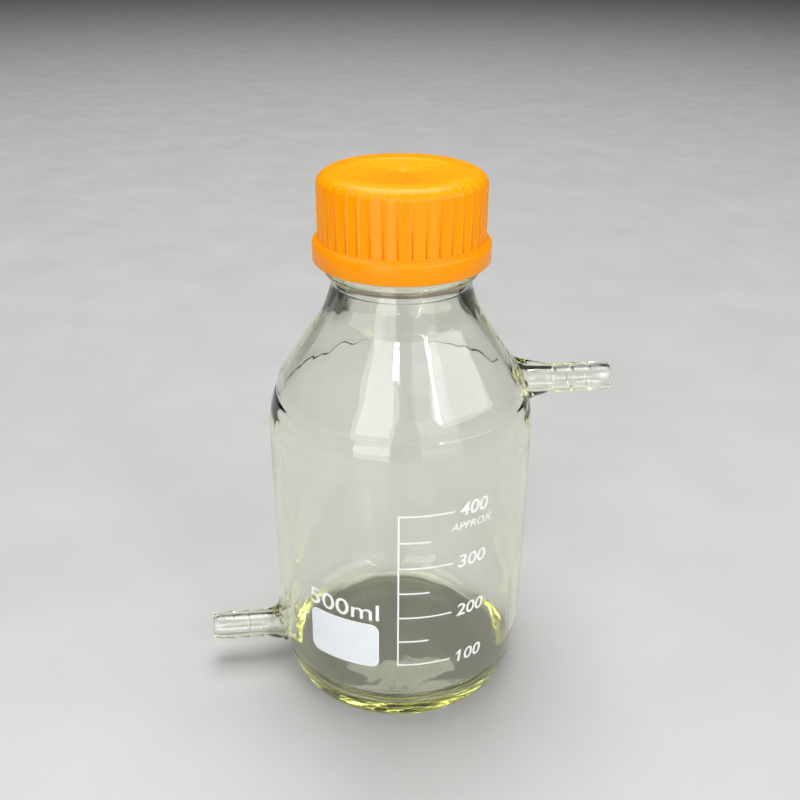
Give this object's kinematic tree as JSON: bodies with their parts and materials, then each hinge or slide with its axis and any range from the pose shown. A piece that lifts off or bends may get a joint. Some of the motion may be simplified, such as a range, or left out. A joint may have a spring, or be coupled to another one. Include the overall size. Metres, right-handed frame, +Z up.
{
  "type": "laboratory bottle with side hose barbs",
  "caption": "Clear glass laboratory bottle with a screw cap, a hose barb fused to the shoulder and another low on the opposite side, for passing liquid or gas through it.",
  "frame": {"origin": "centre of the foot, on the surface that the bottle stands on", "axes": "+Z up along the bottle's axis, +X along the upper barb, -X along the lower barb, -Y towards the side with the printed scale"},
  "size_m": [0.14, 0.0868, 0.1778],
  "materials": {
    "clear_glass": "clear fire-polished borosilicate glass with a fired white scale",
    "cap_plastic": "soft-gloss moulded orange polypropylene",
    "seal_silicone": "matt silicone rubber"
  },
  "bodies": {
    "glass_body": {"bottle": "clear_glass"},
    "seal": {"cap_seal": "seal_silicone"},
    "cap": {"screw_cap": "cap_plastic"}
  },
  "joints": [
    {"name": "cap_rise", "type": "slide", "parent": "glass_body", "child": "seal", "axis": [0, 0, 1], "range_m": [0, 0.0262]},
    {"name": "cap_turn", "type": "hinge", "parent": "seal", "child": "cap", "pos_m": [0, 0, 0.1758], "axis": [0, 0, 1], "range_deg": [0, 2340]}
  ],
  "couplings": [
    {"joint": "cap_rise", "follows": "cap_turn", "m_per_rad": 0.00063662}
  ]
}
